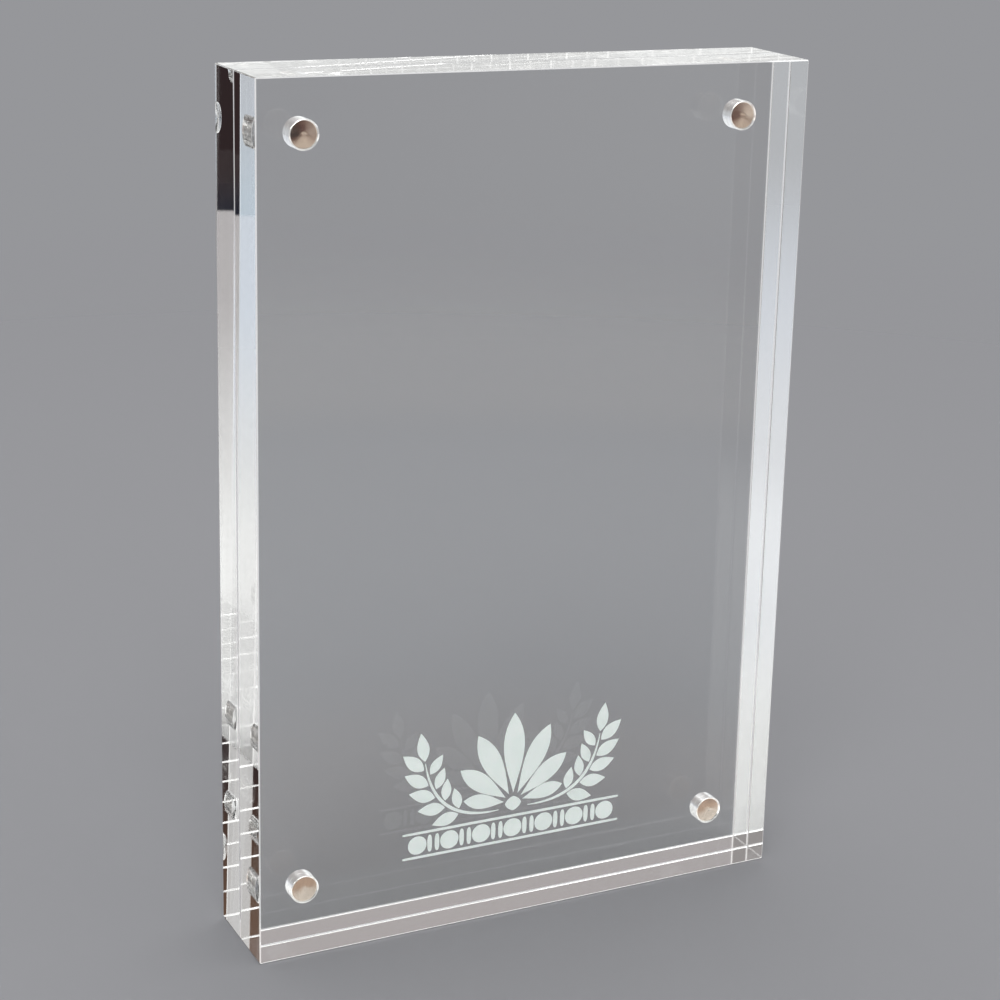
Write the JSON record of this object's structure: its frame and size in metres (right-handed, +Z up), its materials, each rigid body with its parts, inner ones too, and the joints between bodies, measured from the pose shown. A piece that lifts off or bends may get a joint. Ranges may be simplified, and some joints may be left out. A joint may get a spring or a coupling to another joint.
{
  "type": "acrylic block frame",
  "caption": "Upright clear acrylic block photo frame: thick slabs with bevelled polished edges, held face to face by disc magnets let into their corners.",
  "frame": {"origin": "middle of the footprint, on the surface that the frame stands on", "axes": "+Z up, +X to the right as seen from the front, and the front face looks along -Y"},
  "size_m": [0.1016, 0.019, 0.1524],
  "materials": {
    "clear_acrylic": "polished",
    "nickel_plate": "polished",
    "frosted_print": "matte"
  },
  "bodies": {
    "back": {"back_block": "clear_acrylic", "back_magnet_top_left": "nickel_plate", "back_magnet_top_right": "nickel_plate", "back_magnet_bottom_left": "nickel_plate", "back_magnet_bottom_right": "nickel_plate"},
    "front": {"front_block": "clear_acrylic", "front_magnet_top_left": "nickel_plate", "front_magnet_top_right": "nickel_plate", "front_magnet_bottom_left": "nickel_plate", "front_magnet_bottom_right": "nickel_plate"}
  },
  "joints": [
    {"name": "front_block_pull", "type": "slide", "parent": "back", "child": "front", "axis": [0, -1, 0], "range_m": [0, 0.05]}
  ]
}
